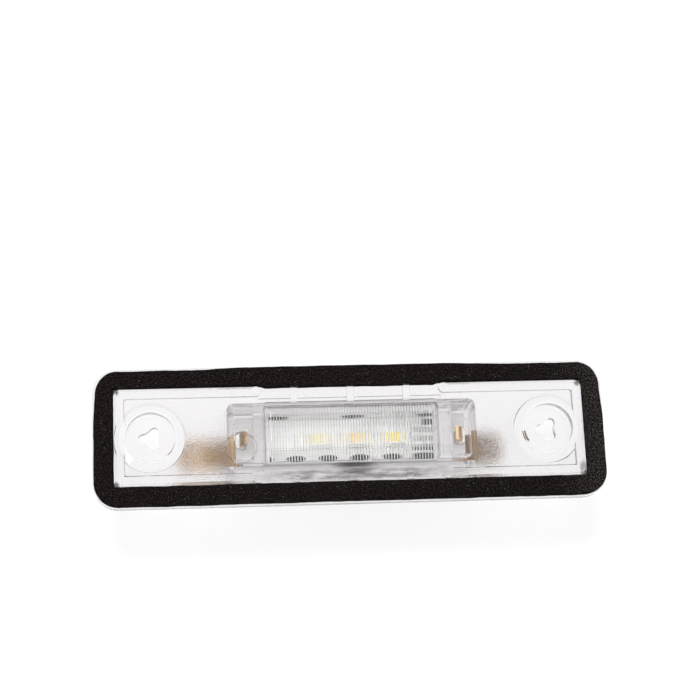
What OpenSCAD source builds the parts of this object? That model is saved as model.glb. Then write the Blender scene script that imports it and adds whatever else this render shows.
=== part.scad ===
// Number plate lamp: a clear moulded carrier with a fluted window, a foam gasket and a sealed board of three
// light emitting diodes, fed by two flat blade terminals.
// Millimetres. The lamp stands on its rear cover, the lit side faces +Z and its length runs along X.

/* [Overall] */
// Height from the rear cover to the gasket's sealing face
depth = 20; // [18.5:0.1:26]
// Film of air between the clear mouldings and what sits on them
seam = 0.03; // [0.01:0.01:0.08]

/* [Flange] */
// Length of the clear flange
flange_l = 105.6; // [102:0.1:114]
// Width of the clear flange
flange_h = 28.9; // [27:0.1:34]
// Corner radius of the flange
flange_r = 5.3; // [3:0.1:8]
// Thickness of the flange under the gasket
flange_t = 1.7; // [1.2:0.1:2.4]
// How far the bare face of the plate lies below the sealing face
floor_drop = 1.0; // [0.6:0.1:1.4]

/* [Gasket] */
// Thickness of the foam
gasket_t = 1.5; // [1.2:0.1:3]
// Width of the foam band
gasket_band = 4.05; // [3:0.05:4.6]
// Strip of flange left bare outside the foam
gasket_inset = 0.3; // [0.1:0.05:1]
// Corner radius of the window in the foam
gasket_inner_r = 0.8; // [0.4:0.1:2]

/* [Rim] */
// Width of the raised rim that centres the foam
rim_w = 2.05; // [1.2:0.05:2.4]
// Gap between the rim and the foam
rim_gap = 0.1; // [0.05:0.05:0.3]
// How far the rim, bosses and ribs stay below the sealing face
crest_drop = 0.1; // [0.05:0.05:0.4]
// Width of the bevel along the rim's outer edge
rim_bevel = 0.5; // [0.2:0.05:0.8]
// Half the length of the middle stretch that has ribs in place of the rim
rim_break = 18.4; // [16:0.1:22]

/* [Screw cups] */
// Distance between the two screw centres
screw_pitch = 82; // [80:0.1:86]
// Radius of the recess for the screw's head
cup_r = 5.05; // [4:0.05:5.4]
// Radius at the foot of the conical boss round the recess
cup_foot_r = 7.25; // [6.8:0.05:7.5]
// Width of the flat crest round the recess
cup_crest_w = 0.5; // [0.3:0.05:0.9]
// Depth of the recess
cup_depth = 2.2; // [1.6:0.1:2.8]
// Thickness of the recess's floor
cup_floor_t = 1.6; // [1.2:0.1:2.5]
// Distance of the three lobes from the centre of the screw hole
lobe_reach = 1.6; // [1.3:0.05:1.8]
// Radius of each lobe
lobe_r = 0.95; // [0.8:0.05:1.1]
// Distance of the waists between the lobes from the centre
lobe_waist = 1.55; // [1.4:0.05:1.65]
// Radius of the hollow of each waist
waist_r = 2.85; // [2.2:0.05:4]

/* [Lens] */
// Length of the fluted lens
lens_l = 36; // [34:0.1:37]
// Width of the fluted lens
lens_h = 11.8; // [11:0.1:12.2]
// Thickness of the lens in its middle zone
lens_t = 2.1; // [1.6:0.1:2.3]
// Corner radius of the lens
lens_r = 0.8; // [0.4:0.1:1.5]
// How far the middle zone lies below the sealing face
lens_drop = 0.5; // [0.3:0.05:0.8]
// Half the width of the flat middle zone, up to the kink lines
kink_y = 3.05; // [2:0.05:4]
// How far the sloping flanks fall towards the edge
flank_fall = 0.6; // [0.2:0.05:0.9]
// Distance from one flute to the next
flute_pitch = 0.586; // [0.45:0.001:0.9]
// Depth of the flutes, which are on the inner face
flute_sag = 0.14; // [0.08:0.01:0.2]
// Width of the plain border at each end of the lens
lens_border = 0.9; // [0.6:0.05:1.5]
// Gap round the lens
lens_gap = 0.1; // [0.05:0.05:0.2]
// Width of the ledge that the lens is welded to
ledge_w = 0.7; // [0.4:0.05:1]
// Width of the frame round the lens
frame_w = 0.7; // [0.4:0.05:1]
// How far the frame lies below the sealing face
frame_drop = 0.35; // [0.1:0.05:0.6]

/* [Ribs] */
// Width of the ribs that brace the frame against the gasket's edge
rib_w = 1.45; // [0.8:0.05:2]
// Distance between the bracing ribs
rib_pitch = 11.65; // [9:0.05:14]
// Length of the short ribs on the other side
short_rib_l = 1.3; // [0.8:0.05:2]
// Width of the groove beside the frame
groove_w = 0.9; // [0.4:0.05:1.4]
// Depth of the groove
groove_d = 0.7; // [0.3:0.05:0.9]

/* [Box] */
// Thickness of the long walls of the box
box_wall = 1.4; // [1.2:0.05:2.2]
// Thickness of the end walls of the box
end_wall = 1.3; // [1:0.05:2.2]
// Clear width inside the box
box_in_h = 11.2; // [10.8:0.05:12]
// Outer corner radius of the box
box_r = 1.5; // [0.6:0.1:2.5]
// Thickness of the partitions between the light chamber and the end pockets
partition_t = 2.0; // [1.2:0.05:2.6]
// Width of each end pocket
pocket_w = 4; // [3.4:0.05:5]
// How much lower the end pockets are than the box's clear width
pocket_trim = 0.1; // [0:0.05:1]
// How far the pockets sit towards +Y
pocket_rise = 0.7; // [0:0.05:0.8]
// Thickness of the clear skin over the pockets
skin_t = 1.0; // [0.7:0.05:1.4]
// How far the pockets, the board and the terminals sit towards +X
board_shift = 0.4; // [-0.6:0.05:0.6]

/* [Rear cover] */
// Thickness of the cover's floor
cover_t = 1.5; // [1:0.1:2]
// Width of the bevel round the cover's rear edge
cover_bevel = 0.6; // [0.2:0.05:0.9]
// Height of the two lips that reach into the box
lip_h = 1.5; // [1:0.1:3]
// Thickness of the lips
lip_t = 0.9; // [0.6:0.05:1.2]
// Gap between the lips and the box
lip_gap = 0.1; // [0.05:0.05:0.2]
// Diameter of the four posts that press on the board
post_d = 2.2; // [1.6:0.1:2.8]
// Distance of the posts from the ends of the space inside the box
post_inset = 7.5; // [6.5:0.1:9]
// Distance of the posts from the long edges of the board
post_edge = 1.55; // [1.5:0.05:2]

/* [Board] */
// Distance from the sealing face to the board's lit face
board_drop = 7.4; // [6.2:0.1:8.4]
// Thickness of the circuit board
board_t = 1; // [0.8:0.1:1.6]
// Gap between the box and each long edge of the board
board_side_gap = 0.65; // [0.2:0.05:0.9]
// Gap at each end of the board
board_gap = 0.5; // [0.3:0.05:0.8]

/* [Diodes] */
// Distance between the light emitting diodes
led_pitch = 7.8; // [6:0.1:9]
// How far the row of diodes sits towards +X from the board's centre
led_shift = 0.8; // [-1:0.05:1.5]
// Length of a diode's package
led_l = 3.5; // [3:0.1:4]
// Width of a diode's package
led_w = 2.8; // [2.4:0.1:3.2]
// Height of a diode's package
led_t = 0.7; // [0.5:0.05:1.2]
// Wall of the package round the phosphor
led_wall = 0.4; // [0.25:0.05:0.6]
// Depth of the phosphor in the package
phosphor_t = 0.4; // [0.2:0.05:0.45]

/* [Driver parts] */
// Length of the rectifier's body
rectifier_l = 4.7; // [4:0.1:5.2]
// Width of the rectifier's body
rectifier_w = 3.9; // [3.4:0.1:4.4]
// Height of the rectifier's body
rectifier_t = 2.3; // [1.8:0.1:3]
// Length of the chip resistor in series with the diodes
series_l = 3.2; // [2:0.1:3.4]
// Width of the chip resistor in series with the diodes
series_w = 1.6; // [1.2:0.1:2.5]
// Length of each load resistor
load_l = 6.3; // [5:0.1:6.5]
// Width of each load resistor
load_w = 3.2; // [2.4:0.1:3.6]
// Length of the chip capacitor
capacitor_l = 2; // [1.6:0.1:3.2]
// Width of the chip capacitor
capacitor_w = 1.2; // [0.8:0.05:2.5]
// Height of the chip capacitor
capacitor_t = 1.2; // [0.6:0.05:1.6]
// Thickness of the chip resistors
chip_t = 0.6; // [0.4:0.05:1]

/* [Terminals] */
// Width of the blade terminals
blade_w = 6.3; // [4.8:0.1:6.6]
// Thickness of the brass strip
blade_t = 0.8; // [0.5:0.05:0.9]
// How far the left blade reaches from the box
left_reach = 10.2; // [8:0.1:12]
// How far the right blade reaches from the box
right_reach = 7.3; // [6.5:0.1:10]
// How far the blades sit towards -Y
blade_fall = 1; // [0.4:0.05:1.2]
// Radius of the locking hole in each blade
detent_r = 0.9; // [0.6:0.05:1.2]
// Inner radius of the strip's bends
bend_r = 0.5; // [0.3:0.05:0.8]
// Distance of each upright leg from the inner wall of its pocket
leg_inset = 1.9; // [1.5:0.05:2.1]
// Width of the tongue that stands through the board
tongue_w = 2.8; // [2:0.05:3.6]
// Height of the tongue's hooked end above the board
tongue_rise = 3.6; // [2.6:0.1:4]
// Length of the tongue's hooked end
hook_l = 1.6; // [1.4:0.05:1.8]
// Clearance round the strip where it passes a slot
slot_gap = 0.1; // [0.05:0.05:0.3]
// Radius of the solder at the board
solder_r = 2; // [1.9:0.05:2.3]
// Height of the solder
solder_t = 0.7; // [0.4:0.05:1]

/* [Hidden] */
$fn = 64;

// A cut runs this far past the face it opens
cut = 1;

// Heights, from the sealing face down
crest_z = depth - crest_drop;
floor_z = depth - floor_drop;
seat_z = depth - gasket_t;
plate_z = seat_z - flange_t;
frame_z = depth - frame_drop;
lens_top_z = depth - lens_drop;
lens_z = lens_top_z - lens_t;
board_top_z = depth - board_drop;
board_z = board_top_z - board_t;

// The blades lie between the box's rear edge and the cover's rim
blade_z = cover_t + slot_gap;
box_z = blade_z + blade_t;

// The foam and the window in it
gasket_l = flange_l - 2 * gasket_inset;
gasket_h = flange_h - 2 * gasket_inset;
window_l = gasket_l - 2 * gasket_band;
window_h = gasket_h - 2 * gasket_band;
raised_l = window_l - 2 * rim_gap;
raised_h = window_h - 2 * rim_gap;
raised_r = gasket_inner_r - rim_gap;

// The frame round the lens, the chamber behind it and the pockets beside that
frame_in_l = lens_l + 2 * lens_gap;
frame_in_h = lens_h + 2 * lens_gap;
frame_l = frame_in_l + 2 * frame_w;
frame_h = frame_in_h + 2 * frame_w;
opening_l = frame_in_l - 2 * ledge_w;
opening_h = min(frame_in_h - 2 * ledge_w, box_in_h);
chamber_l = frame_in_l;
pocket_x = chamber_l / 2 + abs(board_shift) + partition_t + pocket_w / 2;
pocket_h = box_in_h - pocket_trim;
cavity_l = 2 * pocket_x + pocket_w;
box_l = cavity_l + 2 * end_wall;
box_h = box_in_h + 2 * box_wall;

// The board, the posts under it and the terminals' legs
board_l = cavity_l - 2 * board_gap;
board_h = box_in_h - 2 * board_side_gap;
post_x = cavity_l / 2 - post_inset;
post_y = board_h / 2 - post_edge;
leg_x = pocket_x - pocket_w / 2 + leg_inset;

// The driver parts stand in one row between the posts, evenly spaced
part_ls = [rectifier_l, series_l, load_l, load_l, capacitor_l];
part_gap = (2 * post_x - post_d - total(part_ls)) / (len(part_ls) + 1);

function total(v, n = 0) = n < len(v) ? v[n] + total(v, n + 1) : 0;

// Centre of a driver part, counted from the left
function part_x(n) =
    board_shift + post_d / 2 - post_x + part_gap + part_ls[n] / 2
    + (n > 0 ? total([for (i = [0 : n - 1]) part_ls[i] + part_gap]) : 0);

// The light emitting diodes, left to right
led_xs = [for (i = [-1 : 1]) board_shift + led_shift + i * led_pitch];
led_z = board_top_z + led_t;

// The fluted zone of the lens
flutes = floor((lens_l - 2 * lens_border) / flute_pitch);
flute_steps = 6;

// A rectangle with round corners, drawn about the origin
module round_rect(l, h, r) {
    square([l - 2 * r, h], center = true);
    square([l, h - 2 * r], center = true);
    for (x = [-1, 1], y = [-1, 1])
        translate([x * (l / 2 - r), y * (h / 2 - r)])
            circle(r);
}

// The same rectangle as a slab between two heights
module slab(l, h, r, z0, z1) {
    translate([0, 0, z0])
        linear_extrude(z1 - z0)
            round_rect(l, h, r);
}

// A block between two heights, centred on x and y
module block(x, y, l, h, z0, z1) {
    translate([x - l / 2, y - h / 2, z0])
        cube([l, h, z1 - z0]);
}

// A slab whose upper edge has a bevel
module bevelled_slab(l, h, r, z0, z1, bevel) {
    hull() {
        slab(l, h, r, z0, z1 - bevel, $fn = 32);
        slab(l - 2 * bevel, h - 2 * bevel, max(r - bevel, 0.1), z0, z1, $fn = 32);
    }
}

// The three lobed screw hole: one lobe points to -X, and the sides between lobes are hollow
module trefoil() {
    difference() {
        union() {
            for (a = [60, 180, 300])
                rotate(a)
                    translate([lobe_reach, 0])
                        circle(lobe_r);
            for (a = [0, 120, 240])
                rotate(a)
                    translate([0, -lobe_reach * sin(60)])
                        square([lobe_reach / 2 + lobe_r, 2 * lobe_reach * sin(60)]);
            circle(lobe_waist);
        }
        for (a = [0, 120, 240])
            rotate(a)
                translate([lobe_waist + waist_r, 0])
                    circle(waist_r);
    }
}

// The rim that centres the foam, open along the middle, with round ends
module rim() {
    difference() {
        bevelled_slab(raised_l, raised_h, raised_r, floor_z - cut, crest_z, rim_bevel);
        slab(raised_l - 2 * rim_w, raised_h - 2 * rim_w, raised_r, floor_z - 2 * cut, crest_z + cut);
        block(0, 0, 2 * rim_break + rim_w, flange_h, floor_z - 2 * cut, crest_z + cut);
    }
    for (x = [-1, 1], y = [-1, 1])
        translate([x * (rim_break + rim_w / 2), y * (raised_h - rim_w) / 2, floor_z - cut])
            cylinder(h = crest_z - floor_z + cut, d = rim_w);
}

// Both screw positions
module at_screws() {
    for (x = [-1, 1])
        translate([x * screw_pitch / 2, 0, 0])
            children();
}

// Ribs that brace the frame on one side, and short ones on the other
module ribs() {
    long_rib_l = (raised_h - frame_h) / 2;
    for (i = [-1 : 1])
        block(i * rib_pitch, (raised_h + frame_h) / 4, rib_w, long_rib_l, floor_z - cut, crest_z);
    for (i = [-1 : 1])
        block(i * rib_pitch, (short_rib_l - raised_h) / 2, rib_w, short_rib_l, floor_z - cut, crest_z);
}

// The groove beside the frame, stopped at the ribs
module groove() {
    difference() {
        block(0, (frame_h + groove_w) / 2, frame_l, groove_w, floor_z - groove_d, crest_z + cut);
        for (i = [-1 : 1])
            block(i * rib_pitch, frame_h / 2, rib_w, 4 * groove_w, plate_z, crest_z + 2 * cut);
    }
}

// The hollow of the box: light chamber, end pockets and the space behind the board
module box_hollow() {
    block(0, 0, chamber_l, box_in_h, board_top_z - cut, plate_z);
    for (x = [-1, 1])
        block(board_shift + x * pocket_x, pocket_rise, pocket_w, pocket_h, board_top_z - cut, floor_z - skin_t);
    block(board_shift, 0, cavity_l, box_in_h, box_z - cut, board_top_z + seam);
}

// Clear moulding: flange, rim, screw cups, lens frame and the box behind them, in one piece
module carrier() {
    color([0.90, 0.92, 0.95, 0.45])
        difference() {
            union() {
                slab(flange_l, flange_h, flange_r, plate_z, seat_z);
                slab(raised_l, raised_h, raised_r, plate_z, floor_z);
                rim();
                ribs();
                slab(frame_l, frame_h, lens_r + lens_gap + frame_w, plate_z, frame_z);
                at_screws() {
                    translate([0, 0, floor_z])
                        cylinder(h = crest_z - floor_z, r1 = cup_foot_r, r2 = cup_r + cup_crest_w);
                    translate([0, 0, crest_z - cup_depth - cup_floor_t])
                        cylinder(h = cup_depth, r = cup_r + cup_crest_w + rim_w / 2);
                }
                translate([board_shift, 0, 0])
                    slab(box_l, box_h, box_r, box_z + seam, plate_z);
            }
            at_screws() {
                translate([0, 0, crest_z - cup_depth])
                    cylinder(h = cup_depth + cut, r = cup_r);
                translate([0, 0, crest_z - cup_depth - cup_floor_t - cut])
                    linear_extrude(cup_floor_t + 2 * cut)
                        trefoil();
            }
            slab(frame_in_l, frame_in_h, lens_r + lens_gap, lens_z - seam, depth + cut);
            slab(opening_l, opening_h, lens_r, plate_z - cut, lens_z + cut);
            groove();
            box_hollow();
        }
}

// Section of the lens along its length, with the flutes on the inner face
function flute_line(x0) = [
    for (i = [0 : flutes - 1], k = [0 : flute_steps - 1])
        [x0 + (i + k / flute_steps) * flute_pitch, flute_sag * pow(2 * k / flute_steps - 1, 2)]
];

// Clear lens: flat in the middle, sloping flanks beyond two kink lines, round flutes inside
module lens() {
    fluted_l = flutes * flute_pitch;
    color([0.95, 0.96, 0.98, 0.4])
        translate([0, 0, lens_z])
            intersection() {
                translate([0, lens_h, 0])
                    rotate([90, 0, 0])
                        linear_extrude(2 * lens_h)
                            polygon(concat(
                                [[-lens_l, 2 * lens_t], [-lens_l, 0], [-fluted_l / 2, 0]],
                                flute_line(-fluted_l / 2),
                                [[fluted_l / 2, flute_sag], [fluted_l / 2, 0], [lens_l, 0], [lens_l, 2 * lens_t]]
                            ));
                translate([-lens_l, 0, 0])
                    rotate([90, 0, 90])
                        linear_extrude(2 * lens_l)
                            polygon([
                                [-lens_h, -cut],
                                [lens_h, -cut],
                                [lens_h / 2, lens_t - flank_fall],
                                [kink_y, lens_t],
                                [-kink_y, lens_t],
                                [-lens_h / 2, lens_t - flank_fall]
                            ]);
                slab(lens_l, lens_h, lens_r, -cut, 2 * lens_t);
            }
}

// Foam ring that seals the lamp to the panel
module gasket() {
    color([0.05, 0.05, 0.05])
        difference() {
            slab(gasket_l, gasket_h, flange_r - gasket_inset, seat_z, depth);
            slab(window_l, window_h, gasket_inner_r, seat_z - cut, depth + cut);
        }
}

// Cap welded to the rear of the box, with posts that hold the board up against the partitions
module rear_cover() {
    lip_l = 2 * post_x;
    lip_y = box_in_h / 2 - lip_gap - lip_t / 2;
    foot_inset = max(cover_bevel, box_r * (1 - cos(45)));
    color([0.88, 0.88, 0.90, 0.7]) {
        difference() {
            hull() {
                translate([board_shift, 0, 0])
                    slab(box_l, box_h, box_r, cover_bevel, box_z, $fn = 32);
                block(board_shift, 0, box_l - 2 * foot_inset, box_h - 2 * foot_inset, 0, box_z);
            }
            block(board_shift, 0, cavity_l, box_in_h, cover_t, box_z + cut);
            block(board_shift, -blade_fall, box_l + 2 * cut, blade_w + 2 * slot_gap, cover_t, box_z + cut);
        }
        for (y = [-1, 1])
            block(board_shift, y * lip_y, lip_l, lip_t, cover_t, box_z + lip_h);
        for (x = [-1, 1], y = [-1, 1])
            translate([board_shift + x * post_x, y * post_y, cover_t])
                cylinder(h = board_z - seam - cover_t, d = post_d);
    }
}

// White circuit board, with a slot near each end for a terminal's tongue
module circuit_board() {
    color([0.95, 0.95, 0.94])
        difference() {
            block(board_shift, 0, board_l, board_h, board_z, board_top_z);
            for (x = [-1, 1])
                block(board_shift + x * (leg_x + blade_t / 2), 0, blade_t + 2 * slot_gap,
                    tongue_w + 2 * slot_gap, board_z - cut, board_top_z + cut);
        }
}

// White diode package with a round cornered well
module led_package(x) {
    color([0.93, 0.92, 0.88])
        translate([x, 0, 0])
            difference() {
                block(0, 0, led_l, led_w, board_top_z, led_z);
                slab(led_l - 2 * led_wall, led_w - 2 * led_wall, led_wall, led_z - phosphor_t, led_z + cut);
            }
}

// Phosphor that fills the package's well
module led_phosphor(x) {
    color([0.96, 0.82, 0.30])
        translate([x, 0, 0])
            slab(led_l - 2 * led_wall, led_w - 2 * led_wall, led_wall, led_z - phosphor_t, led_z);
}

module led_left() {
    led_package(led_xs[0]);
}

module led_middle() {
    led_package(led_xs[1]);
}

module led_right() {
    led_package(led_xs[2]);
}

module phosphor_left() {
    led_phosphor(led_xs[0]);
}

module phosphor_middle() {
    led_phosphor(led_xs[1]);
}

module phosphor_right() {
    led_phosphor(led_xs[2]);
}

// A chip part on the rear face of the board, by its place in the row
module chip(n, w, t) {
    block(part_x(n), 0, part_ls[n], w, board_z - t, board_z);
}

// Bridge rectifier: a moulded body and four bent leads
module rectifier() {
    lead_pitch = 2.54;
    lead_w = 0.7;
    lead_t = 0.25;
    lead_l = 1.1;
    standoff = 0.15;
    x0 = part_x(0);
    color([0.10, 0.10, 0.11]) {
        block(x0, 0, rectifier_l, rectifier_w, board_z - standoff - rectifier_t, board_z - standoff);
        for (x = [-1, 1], y = [-1, 1])
            translate([x0 + x * lead_pitch / 2, y * (rectifier_w + lead_l) / 2, 0]) {
                block(0, 0, lead_w, lead_l, board_z - lead_t, board_z);
                block(0, -y * (lead_l - lead_t) / 2, lead_w, lead_t, board_z - rectifier_t / 2, board_z);
            }
    }
}

module series_resistor() {
    color([0.12, 0.12, 0.13])
        chip(1, series_w, chip_t);
}

module load_resistor_left() {
    color([0.12, 0.12, 0.13])
        chip(2, load_w, chip_t);
}

module load_resistor_right() {
    color([0.12, 0.12, 0.13])
        chip(3, load_w, chip_t);
}

module capacitor() {
    color([0.62, 0.50, 0.36])
        chip(4, capacitor_w, capacitor_t);
}

// A bend of the brass strip in the XZ plane: a quarter ring about the origin, in the quadrant of dx and dz
module bend(dx, dz, w) {
    rotate([90, 0, 0])
        translate([0, 0, -w / 2])
            linear_extrude(w)
                intersection() {
                    difference() {
                        circle(bend_r + blade_t);
                        circle(bend_r);
                    }
                    scale([dx, dz])
                        square(2 * (bend_r + blade_t));
                }
}

// Brass terminal of the +X end: blade outside, leg up the pocket, hooked tongue through the board
module terminal(reach) {
    outer = bend_r + blade_t;
    leg_in = leg_x;
    leg_out = leg_x + blade_t;
    tip_x = box_l / 2 + reach;
    tip_bevel = 1.2;
    detent_inset = 3.2;
    shoulder_z = board_z - blade_t - bend_r;
    hook_z = board_top_z + tongue_rise;
    difference() {
        translate([0, -blade_fall, 0]) {
            blade(leg_in + outer, tip_x, tip_bevel);
            translate([leg_in + outer, 0, blade_z + outer])
                bend(-1, -1, blade_w);
            block((leg_in + leg_out) / 2, 0, blade_t, blade_w, blade_z + outer, shoulder_z);
        }
        translate([tip_x - detent_inset, -blade_fall, blade_z - cut])
            cylinder(h = blade_t + 2 * cut, r = detent_r);
    }
    block((leg_in + leg_out) / 2, 0, blade_t, tongue_w, shoulder_z, hook_z - outer);
    translate([leg_out - outer, 0, hook_z - outer])
        bend(1, 1, tongue_w);
    block(leg_out - outer - (hook_l - outer) / 2, 0, hook_l - outer, tongue_w, hook_z - blade_t, hook_z);
}

// The flat blade, with its two corners taken off at the tip
module blade(x0, x1, bevel) {
    translate([0, 0, blade_z])
        linear_extrude(blade_t)
            polygon([
                [x0, -blade_w / 2],
                [x1 - bevel, -blade_w / 2],
                [x1, bevel - blade_w / 2],
                [x1, blade_w / 2 - bevel],
                [x1 - bevel, blade_w / 2],
                [x0, blade_w / 2]
            ]);
}

module blade_left() {
    color([0.78, 0.62, 0.36])
        translate([board_shift, 0, 0])
            mirror([1, 0, 0])
                terminal(left_reach);
}

module blade_right() {
    color([0.78, 0.62, 0.36])
        translate([board_shift, 0, 0])
            terminal(right_reach);
}

// Solder round a tongue, on the board's lit face
module solder(side) {
    color([0.72, 0.73, 0.75])
        translate([board_shift + side * (leg_x + blade_t / 2), 0, 0])
            difference() {
                intersection() {
                    translate([0, 0, board_top_z])
                        cylinder(h = solder_t, r1 = solder_r, r2 = solder_r - solder_t / 2);
                    block(0, 0, pocket_w - 2 * board_gap - blade_t, 2 * solder_r, board_top_z, board_top_z + cut);
                }
                block(0, 0, blade_t, tongue_w, board_top_z - cut, board_top_z + 2 * cut);
            }
}

module solder_left() {
    solder(-1);
}

module solder_right() {
    solder(1);
}

carrier();
lens();
gasket();
rear_cover();
circuit_board();
led_left();
led_middle();
led_right();
phosphor_left();
phosphor_middle();
phosphor_right();
rectifier();
series_resistor();
load_resistor_left();
load_resistor_right();
capacitor();
blade_left();
blade_right();
solder_left();
solder_right();
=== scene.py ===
import math

import bmesh
import bpy
from mathutils import Matrix, Vector, noise


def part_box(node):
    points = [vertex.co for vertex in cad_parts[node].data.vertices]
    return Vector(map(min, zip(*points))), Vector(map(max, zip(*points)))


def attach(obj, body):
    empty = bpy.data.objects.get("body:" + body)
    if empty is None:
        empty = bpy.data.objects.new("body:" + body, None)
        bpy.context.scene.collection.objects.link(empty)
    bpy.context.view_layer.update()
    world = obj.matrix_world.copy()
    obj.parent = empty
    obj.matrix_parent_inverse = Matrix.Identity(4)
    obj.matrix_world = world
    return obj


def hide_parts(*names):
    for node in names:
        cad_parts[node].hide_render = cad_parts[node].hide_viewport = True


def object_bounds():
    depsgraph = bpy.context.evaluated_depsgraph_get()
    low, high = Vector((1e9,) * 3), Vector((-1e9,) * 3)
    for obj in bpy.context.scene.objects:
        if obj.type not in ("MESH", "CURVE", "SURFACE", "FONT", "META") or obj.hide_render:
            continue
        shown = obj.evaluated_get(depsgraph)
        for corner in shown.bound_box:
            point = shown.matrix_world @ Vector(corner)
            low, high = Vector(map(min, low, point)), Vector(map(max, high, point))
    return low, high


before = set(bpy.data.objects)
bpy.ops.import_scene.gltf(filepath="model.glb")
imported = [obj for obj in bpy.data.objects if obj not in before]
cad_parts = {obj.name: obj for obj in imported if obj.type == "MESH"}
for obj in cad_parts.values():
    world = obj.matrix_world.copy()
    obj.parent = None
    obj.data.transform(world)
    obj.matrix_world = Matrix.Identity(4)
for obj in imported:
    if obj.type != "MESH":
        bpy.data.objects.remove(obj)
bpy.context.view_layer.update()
MM = 0.001


# Circuit board
# A glass fibre board with white solder mask, routed to length, with a plated slot near each end for a
# terminal. Faint copper tracks show as raised bands under the mask.

MASK_DULL = (0.90, 0.895, 0.89)
MASK_CLEAN = (0.96, 0.96, 0.955)
TRACK_Y = 2.6
TRACK_SPACING = 2.2


class Shade:
    """A value in a material's node tree: arithmetic on it adds Math nodes, and make() adds any other node."""

    def __init__(self, tree, socket=None):
        self.tree = tree
        self.socket = socket

    def make(self, kind, settings=None, inputs=None, output=0):
        """Adds a node: its settings go first, then the values or links of its sockets."""
        node = self.tree.nodes.new("ShaderNode" + kind)
        for name, value in (settings or {}).items():
            if name == "stops":
                ramp = node.color_ramp.elements
                while len(ramp) < len(value):
                    ramp.new(1)
                for stop, (position, colour) in zip(ramp, value):
                    stop.position = position
                    stop.color = (*colour, 1)
            else:
                setattr(node, name, value)
        for name, value in (inputs or {}).items():
            if isinstance(value, Shade):
                self.tree.links.new(value.socket, node.inputs[name])
            else:
                node.inputs[name].default_value = value
        return Shade(self.tree, node.outputs[output])

    def math(self, operation, *values):
        settings = {"operation": operation}
        return self.make("Math", settings, dict(enumerate((self, *values))))

    def __add__(self, other):
        return self.math("ADD", other)

    __radd__ = __add__

    def __sub__(self, other):
        return self.math("SUBTRACT", other)

    def __rsub__(self, other):
        return self * -1 + other

    def __mul__(self, other):
        return self.math("MULTIPLY", other)

    __rmul__ = __mul__

    def __abs__(self):
        return self.math("ABSOLUTE")

    def __gt__(self, other):
        return self.math("GREATER_THAN", other)

    def __lt__(self, other):
        return self.math("LESS_THAN", other)

    def step(self, low, high):
        """Rises smoothly from 0 at low to 1 at high."""
        settings = {"interpolation_type": "SMOOTHSTEP"}
        return self.make("MapRange", settings, {"Value": self, "From Min": low, "From Max": high})

    def near(self, place, full, gone):
        """1 up to full away from the place, and falling smoothly to 0 at gone away from it."""
        return 1 - abs(self - place).step(full, gone)

    def from_nearest(self, place, spacing):
        """Distance from the nearest of evenly spaced places, given one of them."""
        return (self - place).math("PINGPONG", spacing / 2)

    def blend(self, colour_0, colour_1):
        """The first colour where this value is 0, and the second where it is 1."""
        settings = {"data_type": "RGBA"}
        whole = [c if isinstance(c, Shade) else (*c, 1) for c in (colour_0, colour_1)]
        return self.make("Mix", settings, {0: self, 6: whole[0], 7: whole[1]}, output=2)


class Finish:
    """A material under construction: its place in millimetres, and its Principled shader."""

    def __init__(self, name, **constants):
        self.material = bpy.data.materials.new(name)
        self.material.use_nodes = True
        tree = self.material.node_tree
        self.shader = tree.nodes["Principled BSDF"]
        self.root = Shade(tree)
        place = self.root.make("TexCoord", output=3)
        self.spot = self.root.make("VectorMath", {"operation": "SCALE"}, {0: place, "Scale": 1 / MM})
        xyz = self.root.make("SeparateXYZ", inputs={0: self.spot}).socket.node
        self.x, self.y, self.z = (Shade(tree, out) for out in xyz.outputs)
        self.set(**constants)

    def set(self, **sockets):
        """Sets the shader's sockets, such as base_color=..., to a value or a link."""
        for name, value in sockets.items():
            socket = self.shader.inputs[name.replace("_", " ").title().replace("Ior", "IOR")]
            if isinstance(value, Shade):
                self.root.tree.links.new(value.socket, socket)
            else:
                socket.default_value = (*value, 1) if isinstance(value, tuple) else value

    def grain(self, per_mm, detail, stretch=(1, 1, 1)):
        """Noise with about that many grains a millimetre."""
        spot = self.root.make("VectorMath", {"operation": "MULTIPLY"}, {0: self.spot, 1: stretch})
        return self.root.make("TexNoise", None, {"Vector": spot, "Scale": per_mm, "Detail": detail})

    def bump(self, height, depth_mm):
        """Feeds a height field, 0 to 1 over depth_mm, to the normal."""
        self.set(normal=self.root.make("Bump", None, {"Height": height, "Distance": depth_mm * MM}))

    def coat(self, *names):
        """Puts this material on CAD nodes."""
        for name in names:
            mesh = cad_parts[name].data
            mesh.materials.clear()
            mesh.materials.append(self.material)


mask_paint = Finish("white_solder_mask", roughness=0.42, specular_ior_level=0.45)
track = abs(mask_paint.y).from_nearest(TRACK_Y, TRACK_SPACING).step(0.28, 0.4)
mottle = mask_paint.grain(0.9, 4)
mask_paint.set(base_color=(mottle * 0.5 + track * 0.3).blend(MASK_DULL, MASK_CLEAN))
mask_paint.bump(track + mottle * 0.2, 0.03)
mask_paint.coat("circuit_board")


# Light emitting diodes
# Three white moulded packages with a yellow phosphor well, soldered to pads at both ends. The wells aged
# differently, so each has its own shade of yellow.

DIODES = ("led_left", "led_middle", "led_right")
PACKAGE_DULL = (0.82, 0.81, 0.77)
PACKAGE_CLEAN = (0.93, 0.92, 0.89)
PHOSPHORS = {
    "phosphor_left": ((0.92, 0.82, 0.42), (0.96, 0.90, 0.60)),
    "phosphor_middle": ((0.95, 0.62, 0.20), (0.98, 0.78, 0.36)),
    "phosphor_right": ((0.95, 0.74, 0.06), (0.99, 0.88, 0.24)),
}
TIN_DULL = (0.58, 0.58, 0.58)
TIN_BRIGHT = (0.80, 0.80, 0.79)
FILLET = 0.45 * MM
FILLET_SHARE = 0.75
FILLET_STEPS = 5

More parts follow.
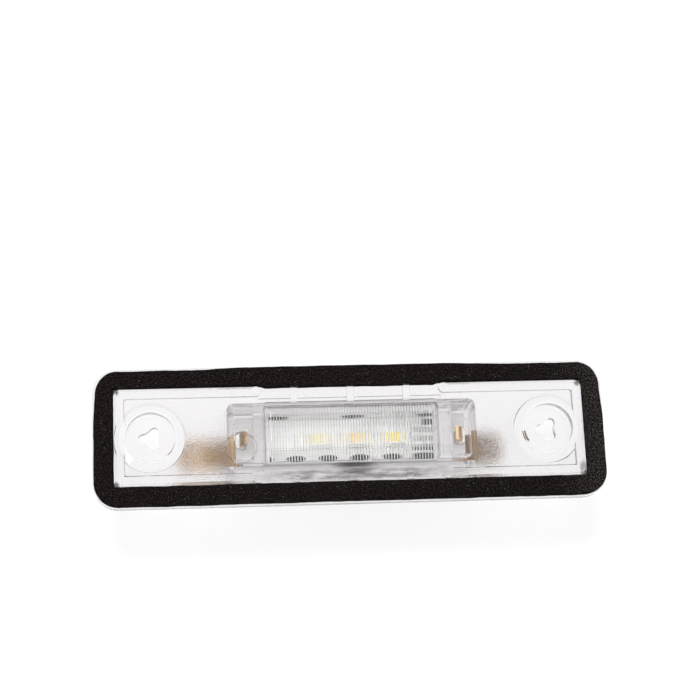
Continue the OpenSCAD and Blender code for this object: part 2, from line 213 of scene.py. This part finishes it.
package_paint = Finish("diode_package", roughness=0.38)
package_speck = package_paint.grain(6, 2)
package_paint.set(base_color=package_speck.blend(PACKAGE_DULL, PACKAGE_CLEAN))
package_paint.bump(package_speck, 0.01)
package_paint.coat(*DIODES)

for well, (deep, pale) in PHOSPHORS.items():
    gel = Finish(well + "_gel", roughness=0.25)
    cloud = gel.grain(1.6, 3)
    gel.set(base_color=cloud.step(0.3, 0.7).blend(deep, pale))
    gel.bump(cloud, 0.02)
    gel.coat(well)

solder_paint = Finish("bright_solder", metallic=1.0)
ripple = solder_paint.grain(3, 3)
solder_paint.set(base_color=ripple.blend(TIN_DULL, TIN_BRIGHT), roughness=ripple * 0.25 + 0.15)
solder_paint.bump(ripple, 0.05)


def wedge(mesh, x, y, z, reach, width, height):
    """A solder fillet: full height at x, running out to nothing at x + reach, with a hollow slope."""
    shares = [i / FILLET_STEPS for i in range(FILLET_STEPS + 1)]
    profile = [(0, 0)] + [(reach * share, height * (1 - share) ** 2) for share in shares]
    near_side, far_side = (
        [mesh.verts.new((x + dx, y + side * width, z + dz)) for dx, dz in profile]
        for side in (-0.5, 0.5))
    mesh.faces.new(near_side)
    mesh.faces.new(far_side[::-1])
    for i in range(len(profile)):
        j = (i + 1) % len(profile)
        mesh.faces.new((near_side[i], far_side[i], far_side[j], near_side[j]))


def add_piece(name, mesh, finish, smooth=True):
    """Turns a bmesh into a piece of the lamp that rides on its only body."""
    bmesh.ops.recalc_face_normals(mesh, faces=mesh.faces)
    data = bpy.data.meshes.new(name)
    mesh.to_mesh(data)
    mesh.free()
    for face in data.polygons:
        face.use_smooth = smooth
    data.materials.append(finish.material)
    piece = bpy.data.objects.new(name, data)
    bpy.context.scene.collection.objects.link(piece)
    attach(piece, "root")
    return piece


fillets = bmesh.new()
for diode in DIODES:
    low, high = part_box(diode)
    middle_y = (low.y + high.y) / 2
    for edge_x, reach in ((low.x, -FILLET), (high.x, FILLET)):
        wedge(fillets, edge_x, middle_y, low.z, reach, (high.y - low.y) * FILLET_SHARE, FILLET)
add_piece("diode_fillets", fillets, solder_paint, smooth=False)


# Driver parts
# A black moulded rectifier, three black glazed chip resistors and a tan ceramic capacitor on the rear of the
# board. The rectifier's leads and the chips' ends are tinned.

RECTIFIER_BODY_W = 3.9
EPOXY_DARK = (0.012, 0.012, 0.013)
EPOXY_DUSTY = (0.04, 0.04, 0.042)
LEAD = (0.7, 0.7, 0.7)
CAP = (0.72, 0.72, 0.71)
CAP_SHARE = 0.16
CAP_LEAST = 0.15
GLAZE_BLACK = ((0.01, 0.01, 0.011), (0.03, 0.03, 0.033))
CERAMIC_TAN = ((0.30, 0.19, 0.10), (0.42, 0.29, 0.17))

epoxy = Finish("black_epoxy")
dust = epoxy.grain(5, 4)
leads = abs(epoxy.y) > RECTIFIER_BODY_W / 2 + 0.01
epoxy.set(
    base_color=leads.blend(dust.blend(EPOXY_DARK, EPOXY_DUSTY), LEAD),
    metallic=leads,
    roughness=0.55 - leads * 0.25)
epoxy.bump(dust, 0.02)
epoxy.coat("rectifier")


def chip_finish(node, deep, pale):
    """Glazed body with tinned caps over both ends."""
    low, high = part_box(node)
    centre = (low.x + high.x) / 2 / MM
    half = (high.x - low.x) / 2 / MM
    glaze = Finish(node + "_glaze")
    cap = abs(glaze.x - centre) > half * (1 - CAP_SHARE) - CAP_LEAST
    speck = glaze.grain(5, 3)
    glaze.set(
        base_color=cap.blend(speck.blend(deep, pale), CAP),
        metallic=cap,
        roughness=0.35 - cap * 0.08)
    glaze.bump(speck, 0.01)
    glaze.coat(node)


for resistor in ("series_resistor", "load_resistor_left", "load_resistor_right"):
    chip_finish(resistor, *GLAZE_BLACK)
chip_finish("capacitor", *CERAMIC_TAN)


# Blade terminals and their solder
# Stamped and bent brass strip, 0.8 mm thick, tin free, with fine marks along the rolling direction. The
# tongues are soldered where they stand through the board. Painted shade darkens the +X blade all over and the
# other one in patches, standing in for the shaded surroundings they reflect.

BRASS_WARM = (0.62, 0.43, 0.24)
BRASS_SHADED = (0.085, 0.042, 0.016)
BRASS_RUBBED = (0.62, 0.46, 0.28)
SHADED_X = (23.5, 26.5)

brass = Finish("rolled_brass", metallic=1.0)
in_patches = brass.grain(0.35, 3, (1, 0.25, 0.6)).step(0.35, 0.65)
# Painted shade: dark patches on the -X blade, and the +X blade dark all over
painted_blade_shade = ((brass.x < 0) * in_patches * 0.75).math("MAXIMUM", brass.x.step(*SHADED_X) * 0.95)
rolling = brass.grain(9, 2, (0.06, 1, 1))
brass.set(
    base_color=(rolling.step(0.35, 0.75) * 0.3).blend(painted_blade_shade.blend(BRASS_WARM, BRASS_SHADED), BRASS_RUBBED),
    roughness=painted_blade_shade * 0.18 + rolling * 0.12 + 0.2)
brass.bump(rolling, 0.01)
brass.coat("blade_left", "blade_right")
solder_paint.coat("solder_left", "solder_right")


# Carrier
# One clear polycarbonate moulding. Its front is polished. The rear face of the plate has a spark eroded grain
# outside the box, which blurs the blades behind it.

CLEAR = {"transmission_weight": 1.0, "ior": 1.45}
POLISHED = (0.905, 0.893, 0.902)
GRAINED = (0.84, 0.824, 0.834)
FLANGE_T = 1.7
FOAM_BAND = 4.05
RIM_W = 2.15

gasket_low, gasket_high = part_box("gasket")
plate_z = gasket_low.z / MM - FLANGE_T
rim_x = gasket_high.x / MM - FOAM_BAND
rim_y = gasket_high.y / MM - FOAM_BAND
clear = Finish("clear_carrier", **CLEAR)
on_rear = abs(clear.z - plate_z) < 0.08
carrier_tint = on_rear.blend(POLISHED, GRAINED)

# Painted shade: the wall below the window is darkened in clouds, and a painted shadow is darkest in a short
# streak along the lens
PAINTED_DUSK_SHADE = (0.30, 0.28, 0.28)
PAINTED_STREAK_SHADOW = (0.16, 0.15, 0.15)
DUSK_X = 1.5
DUSK_Y = -8.4
STREAK_X = 0.8
STREAK_Y = -6.7
clouds = clear.grain(0.6, 4, (0.4, 1.8, 1)).step(0.35, 0.62)
painted_dusk = clear.y.near(DUSK_Y, 0.7, 1.3) * clear.x.near(DUSK_X, 8, 26) * clouds
painted_streak = clear.x.near(STREAK_X, 1.5, 6) * clear.y.near(STREAK_Y, 0.2, 0.8)
carrier_tint = painted_dusk.blend(carrier_tint, PAINTED_DUSK_SHADE)
carrier_tint = painted_streak.blend(carrier_tint, PAINTED_STREAK_SHADOW)

# Painted shade: broken dark lines along the inner foot of the rim, where the tray's floor meets it
FOOT_SHADE_LINE = (0.03, 0.028, 0.028)
HALVES_FROM_X = 20.5
LINE_FROM_Y = 3.5
foot_x = rim_x - RIM_W
foot_y = rim_y - RIM_W
along_x = (abs(clear.x) > HALVES_FROM_X) * (abs(clear.x) < foot_x) * clear.y.near(-foot_y, 0.08, 0.2)
along_y = (abs(clear.y) > LINE_FROM_Y) * (abs(clear.y) < foot_y) * abs(clear.x).near(foot_x, 0.05, 0.13)
broken = (clear.z > plate_z + 0.3) * clear.grain(0.9, 3).step(0.1, 0.55)
carrier_tint = ((along_x + along_y * 0.6) * broken).blend(carrier_tint, FOOT_SHADE_LINE)

# The +Y walls of the end pockets lie in shade, the one at +X more
WALL_SHADE = (0.36, 0.34, 0.34)
BOX_SHIFT = 0.4
POCKET_X = 22.4
POCKET_WALL_Y = 6.25
WALL_HALF_W = 1.8
wall_across = abs(abs(clear.x - BOX_SHIFT) - POCKET_X) < WALL_HALF_W
pocket_wall = (abs(clear.y - POCKET_WALL_Y) < 0.12) * wall_across * (clear.z < plate_z + 1.5)
carrier_tint = (pocket_wall * ((clear.x > 0) * 0.5 + 0.5)).blend(carrier_tint, WALL_SHADE)

# Painted reflection of the black foam darkens the rim's four corners, and its edge near one of them is darker
PAINTED_DARK = (0.06, 0.055, 0.05)
CORNER_INSET_X = 0.25
CORNER_INSET_Y = 0.2
EDGE_INSET = 0.75
EDGE_FROM_CORNER = 1.8
corner_x = abs(clear.x) - (rim_x - CORNER_INSET_X)
corner_y = abs(clear.y) - (rim_y - CORNER_INSET_Y)
painted_corner_reflection = 1 - (corner_x * corner_x + corner_y * corner_y).step(0.25, 1.2)
painted_edge_dark = clear.x.near(rim_x - EDGE_INSET, 0.15, 0.5) * clear.y.near(EDGE_FROM_CORNER - rim_y, 0.4, 1.8)
carrier_tint = painted_corner_reflection.math("MAXIMUM", painted_edge_dark * 0.8).blend(carrier_tint, PAINTED_DARK)


def distance(across, along):
    """Distance in a plane from its two parts."""
    return (across * across + along * along).math("SQRT")


# Painted shade: the walls of the two screw holes are tinted grey, and so look grey from above
HOLE_WALL_SHADE = (0.25, 0.24, 0.24)
SCREW_X = 41
HOLE_REACH = 2.8
CUP_DEPTH = 2.2
CUP_FLOOR_T = 1.6
SKIN = 0.05
cup_floor_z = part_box("carrier")[1].z / MM - CUP_DEPTH
in_floor = (clear.z < cup_floor_z - SKIN) * (clear.z > cup_floor_z - CUP_FLOOR_T + SKIN)
painted_hole_shade = (distance(abs(clear.x) - SCREW_X, clear.y) < HOLE_REACH) * in_floor
carrier_tint = painted_hole_shade.blend(carrier_tint, HOLE_WALL_SHADE)

# A fine round ring is moulded on the front over the left pocket
RING_X = -22.6
RING_Y = -2.5
RING_R = 3.1
ring = distance(clear.x - RING_X, clear.y - RING_Y).near(RING_R, 0.04, 0.14) * (clear.z > plate_z + 1)

# The grain is on the plate's rear face alone, and every face has sunk a little as it cooled
grain = clear.grain(4.6, 1)
sink = clear.grain(0.12, 1)
clear.set(base_color=carrier_tint, roughness=on_rear * grain.step(0.4, 0.6) * 0.04 + 0.015)
clear.bump(on_rear * grain * 0.65 + sink * 0.1 + ring * 0.7, 0.2)
clear.coat("carrier")


# Lens
# A clear insert welded into the carrier's frame. Its outer face is smooth, with two kink lines, and its inner
# face has fine round flutes across the whole width. Painted dark reflections lie in short rows of its
# grooves.

LENS_CLEAR = (0.99, 0.99, 0.985)
LENS_PAINTED_DARK = (0.0002, 0.0002, 0.0002)
FLUTE_PITCH = 0.586
END_MARGIN = 1.1
KINK_Y = 3.05
FRAME_INSET = 0.25
TOP_ROW_Y = 3.5
TOP_GROUP_X = 0.5
TOP_GROUP_SPACING = 15.6
LOW_ROW_Y = -4.85
LOW_GROUP_X = 1.7
LOW_GROUP_SPACING = 6.6
THICK_ROW_X = (14, 15.5)
THICK_ROW_Y = 2.1
END_ROWS_X = (11.5, 13.5)
END_ROWS_Y = -4.9
END_ROWS_SPACING = 1.8
END_ROWS_TOP = 1.2

lens_low, lens_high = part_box("lens")
lens_paint = Finish("clear_lens", **CLEAR)
from_end = lens_high.x / MM - abs(lens_paint.x)
from_side = lens_high.y / MM - abs(lens_paint.y)
groove = 1 - lens_paint.x.from_nearest(-FLUTE_PITCH / 2, FLUTE_PITCH).step(0.15, 0.21)
inner_face = (lens_paint.z < lens_low.z / MM + 1) * (from_end > END_MARGIN)


def oval(across, along, half_l, half_w):
    """1 in the middle of an oval patch, and falling smoothly to 0 at its edge."""
    return 1 - distance(across * (1 / half_l), along * (1 / half_w)).step(0.5, 1)


# Painted dark reflections in the grooves: short rows, and fainter along both flanks
from_top_group = lens_paint.x.from_nearest(TOP_GROUP_X, TOP_GROUP_SPACING)
from_low_group = lens_paint.x.from_nearest(LOW_GROUP_X, LOW_GROUP_SPACING)
top_row = oval(from_top_group, lens_paint.y - TOP_ROW_Y, half_l=3.1, half_w=0.36)
low_row = oval(from_low_group, lens_paint.y - LOW_ROW_Y, half_l=2.6, half_w=0.8)
thick_row = lens_paint.y.near(THICK_ROW_Y, 0.5, 0.8) * lens_paint.x.step(*THICK_ROW_X)
end_lines = 1 - lens_paint.y.from_nearest(END_ROWS_Y, END_ROWS_SPACING).step(0.5, 0.72)
end_rows = end_lines * (lens_paint.y < END_ROWS_TOP) * lens_paint.x.step(*END_ROWS_X)
flanks = (lens_paint.y > KINK_Y) * 0.15 + (lens_paint.y < -KINK_Y) * 0.3
rows = top_row * 1.8 + low_row * 1.2 + thick_row * 1.28 + end_rows * 0.8 + flanks

# Painted dark reflections on the two kink lines, and a dark line painted round the frame
kinks = abs(lens_paint.y).near(KINK_Y, 0.03, 0.09)
frame_line = from_end.math("MINIMUM", from_side).near(FRAME_INSET, 0.04, 0.12)
painted_dark_marks = (groove * inner_face * rows + kinks * 0.42 + frame_line * 0.5).math("MINIMUM", 1.0)
haze = lens_paint.grain(0.5, 2)
lens_paint.set(base_color=painted_dark_marks.blend(LENS_CLEAR, LENS_PAINTED_DARK), roughness=haze * 0.05 + 0.01)
lens_paint.bump(haze, 0.004)
lens_paint.coat("lens")


# Rear cover
# A milky polycarbonate cap, welded to the box's rear edge. Four round ejector marks show on its flat outside.

MILKY_DULL = (0.90, 0.87, 0.875)
MILKY_CLEAN = (0.96, 0.94, 0.945)
EJECTOR_X = 18
EJECTOR_Y = 3.2
EJECTOR_R = 1.6

milky = Finish("milky_cover", transmission_weight=0.85, ior=1.45)
cover_grain = milky.grain(3, 3)
milky.set(base_color=cover_grain.blend(MILKY_DULL, MILKY_CLEAN), roughness=cover_grain * 0.15 + 0.28)
from_ejector = distance(abs(milky.x - BOX_SHIFT) - EJECTOR_X, abs(milky.y) - EJECTOR_Y)
milky.bump(cover_grain * 0.25 - from_ejector.near(EJECTOR_R, 0, 0.12) * 0.6, 0.08)
milky.coat("rear_cover")


# Gasket
# Closed cell foam, die cut from sheet and stuck to the flange. The cut edges wander a little, pale dust sits
# in its pores, and its +X end has a painted sheen. Between the rim's two halves its inner edge bulges to the
# lens.

PORE = (0.0002, 0.0001, 0.0001)
FOAM_BLACK = (0.017, 0.012, 0.0112)
FOAM_SHEEN = (0.044, 0.0375, 0.035)
FOAM_DUST = (0.075, 0.069, 0.066)
SHEEN_X = (40, 54)
BAND = FOAM_BAND * MM
EDGE_R = 0.35 * MM
OUTER_R = 5.0 * MM
EDGE_STEPS = 4
TOP_STEPS = 8
SIDE_SHARE = 0.35
PATH_STEP = 0.6 * MM
WANDER = 0.10 * MM
WANDER_LENGTH = 4 * MM
ROUGH = 0.05 * MM
ROUGH_LENGTH = 1.1 * MM
BULGE = 0.35 * MM
BULGE_HALF_L = 18.4 * MM
SET_BACK = 0.4 * MM
SET_BACK_X = (18 * MM, 34 * MM)
SET_BACK_Y = (2 * MM, 11 * MM)

foam = Finish("black_foam", roughness=0.9, specular_ior_level=0.06)
pores = foam.grain(3.5, 6)
specks = foam.root.make("TexVoronoi", None, {"Vector": foam.spot, "Scale": 1.5})
dusty = (1 - specks.step(0.06, 0.2)) * foam.grain(0.5, 3).step(0.45, 0.6)
# Painted sheen: the foam is lighter towards its +X end
foam_painted_sheen = foam.x.step(*SHEEN_X).blend(FOAM_BLACK, FOAM_SHEEN)
foam.set(base_color=dusty.blend(pores.step(0.45, 0.64).blend(PORE, foam_painted_sheen), FOAM_DUST))
foam.bump(pores, 0.12)


def ring_path(half_x, half_y, radius, step):
    """Points and outward normals round a rectangle with round corners, from the middle of the +X side."""
    points = []

    def run(start, end, normal):
        count = max(2, round((end - start).length / step))
        points.extend((start.lerp(end, i / count), normal) for i in range(count))

    for quarter in range(4):
        turn = Matrix.Rotation(quarter * math.pi / 2, 2)
        hx, hy = (half_x, half_y) if quarter % 2 == 0 else (half_y, half_x)
        run(turn @ Vector((hx, radius - hy)), turn @ Vector((hx, hy - radius)), turn @ Vector((1, 0)))
        arc = max(4, round(radius * math.pi / 2 / step))
        centre = turn @ Vector((hx - radius, hy - radius))
        for i in range(arc):
            angle = quarter * math.pi / 2 + math.pi / 2 * i / arc
            normal = Vector((math.cos(angle), math.sin(angle)))
            points.append((centre + normal * radius, normal))
    return points


def foam_section(width, height):
    """Closed outline of the foam band: x from 0 at the outer edge to -width, z from 0 to height."""
    outline = []
    for cx, start in ((-EDGE_R, 0), (EDGE_R - width, 90)):
        for k in range(EDGE_STEPS + 1):
            angle = math.radians(start + 90 * k / EDGE_STEPS)
            outline.append((cx + EDGE_R * math.cos(angle), height - EDGE_R + EDGE_R * math.sin(angle)))
        if start == 0:
            flat = width - 2 * EDGE_R
            outline.extend((-EDGE_R - flat * k / TOP_STEPS, height) for k in range(1, TOP_STEPS))
    side = height * SIDE_SHARE
    outline.extend(((-width, side), (-width, 0), (-width / 2, 0), (0, 0), (0, side)))
    return outline


def ease(value, low, high):
    """Rises smoothly from 0 at low to 1 at high."""
    t = min(1, max(0, (value - low) / (high - low)))
    return t * t * (3 - 2 * t)


def held(value, limit):
    """The value, kept between -limit and limit."""
    return max(-limit, min(limit, value))


height = gasket_high.z - gasket_low.z
half_x = gasket_high.x
half_y = gasket_high.y


def foam_point(point, normal, across, up):
    """Where a point of the section lies, at a point of the outer edge."""
    share = -across / BAND
    inner = Vector((held(point.x, half_x - BAND), held(point.y, half_y - BAND)))
    spot = point.lerp(inner, share)
    wander = noise.noise(Vector((point.x, point.y, 0)) / WANDER_LENGTH) * WANDER
    rough = noise.noise(Vector((spot.x, spot.y, up)) / ROUGH_LENGTH) * ROUGH
    bulge = 0
    if point.y > half_y - OUTER_R and abs(point.x) < BULGE_HALF_L:
        bulge = BULGE * share * min(1, (BULGE_HALF_L - abs(point.x)) / MM)
    set_back = SET_BACK * (1 - share) * ease(point.y, *SET_BACK_Y) * ease(abs(point.x), *SET_BACK_X)
    away = normal * ((wander + rough) * abs(2 * share - 1) - bulge - set_back)
    dent = abs(rough) * 0.8 if up > height * 0.9 else 0
    return spot.x + away.x, spot.y + away.y, gasket_low.z + up - dent


outline = foam_section(BAND, height)
foam_mesh = bmesh.new()
loops = [
    [foam_mesh.verts.new(foam_point(point, normal, across, up)) for across, up in outline]
    for point, normal in ring_path(half_x, half_y, OUTER_R, PATH_STEP)]
for i, here in enumerate(loops):
    there = loops[(i + 1) % len(loops)]
    for k in range(len(outline)):
        m = (k + 1) % len(outline)
        foam_mesh.faces.new((here[k], here[m], there[m], there[k]))
foam_ring = add_piece("foam_gasket", foam_mesh, foam)
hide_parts("gasket")


# Studio
# White sweep and soft overhead light. The camera stands where the photograph was taken from, above the lit
# side, a little to the left and below the middle.

WHITE = (1, 1, 1, 1)
PAPER = (0.9, 0.9, 0.9, 1)
FLOOR_HALF = 3
FLOOR_GAP = 0.02 * MM
AMBIENT = 0.75
ROOM = [(0.0, (0.02, 0.02, 0.02)), (0.3, (0.38, 0.38, 0.38)), (0.6, (0.48, 0.48, 0.48)), (0.95, (1, 1, 1))]

floor_mesh = bmesh.new()
bmesh.ops.create_grid(floor_mesh, x_segments=1, y_segments=1, size=FLOOR_HALF)
floor_data = bpy.data.meshes.new("floor")
floor_mesh.to_mesh(floor_data)
floor_mesh.free()
floor = bpy.data.objects.new("floor", floor_data)
floor.location.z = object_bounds()[0].z - FLOOR_GAP
bpy.context.scene.collection.objects.link(floor)


def emptied(owner):
    """The root of a node tree that has been cleared."""
    owner.use_nodes = True
    owner.node_tree.nodes.clear()
    return Shade(owner.node_tree)


def ray_kinds(root):
    """Three values, each 1 on its own rays: from the camera, off a gloss, and through clear plastic."""
    rays = root.make("LightPath").socket.node
    names = ("Is Camera Ray", "Is Glossy Ray", "Is Transmission Ray")
    return [Shade(root.tree, rays.outputs[name]) for name in names]


def finish_tree(root, kind, surface):
    """Links a shader to a new output node."""
    output = root.tree.nodes.new("ShaderNodeOutput" + kind)
    root.tree.links.new(surface.socket, output.inputs["Surface"])


sweep = bpy.data.materials.new("white_sweep")
root = emptied(sweep)
direct, glossy, through = ray_kinds(root)
paper = root.make("BsdfDiffuse", inputs={"Color": PAPER})
glow = root.make("Emission", inputs={"Color": WHITE, "Strength": 1.0})
glow_share = (direct * 0.8).math("MAXIMUM", glossy.math("MAXIMUM", through) * 0.92)
finish_tree(root, "Material", root.make("MixShader", inputs={0: glow_share, 1: paper, 2: glow}))
floor_data.materials.append(sweep)

# White to the camera, plain light to the surfaces, and a room that darkens towards the floor in reflections
# and through the plastic
studio = bpy.data.worlds.new("studio")
bpy.context.scene.world = studio
root = emptied(studio)
direct, glossy, through = ray_kinds(root)
heading = root.make("SeparateXYZ", inputs={0: root.make("TexCoord", output=0)}, output=2)
room = root.make("ValToRGB", {"stops": ROOM}, {0: heading})
ambient = root.make("Background", inputs={"Color": WHITE, "Strength": AMBIENT})
backdrop = root.make("Background", inputs={"Color": WHITE, "Strength": 1.0})
around = root.make("Background", inputs={"Color": room, "Strength": through + 1.0})
looked_at = direct.math("MAXIMUM", glossy).math("MAXIMUM", through)
shown = root.make("MixShader", inputs={0: direct, 1: around, 2: backdrop})
finish_tree(root, "World", root.make("MixShader", inputs={0: looked_at, 1: ambient, 2: shown}))


def softbox(name, place, size, power):
    """A square area light that faces the middle of the lamp and isn't seen through its plastic."""
    data = bpy.data.lights.new(name, "AREA")
    data.size = size
    data.energy = power
    light = bpy.data.objects.new(name, data)
    light.location = place
    light.rotation_euler = (-Vector(place)).to_track_quat("-Z", "Y").to_euler()
    light.visible_transmission = False
    bpy.context.scene.collection.objects.link(light)


softbox("key_light", place=(-0.12, 0.42, 0.85), size=0.3, power=10)
softbox("fill_light", place=(-0.7, -0.3, 0.5), size=0.4, power=3)

# The camera's place and axes in the lamp's frame, worked out from the foam's four corners in the photograph
CAMERA_PLACE = Vector((-36.08, -72.59, 354.61)) * MM + Vector((0, 0, gasket_high.z))
RIGHT = Vector((0.9949, -0.0438, 0.0911))
UP = Vector((0.0200, 0.9687, 0.2475))
FOCAL_PIXELS = 1776
FRAME_PIXELS = 700
SENSOR_W = 36
camera_data = bpy.data.cameras.new("camera")
camera_data.sensor_width = SENSOR_W
camera_data.lens = FOCAL_PIXELS / FRAME_PIXELS * SENSOR_W
camera_data.clip_start = 0.01
camera = bpy.data.objects.new("camera", camera_data)
axes = Matrix((RIGHT, UP, RIGHT.cross(UP).normalized())).transposed().to_4x4()
camera.matrix_world = Matrix.Translation(CAMERA_PLACE) @ axes
bpy.context.scene.collection.objects.link(camera)
bpy.context.scene.camera = camera
bpy.context.scene.view_settings.view_transform = "Standard"
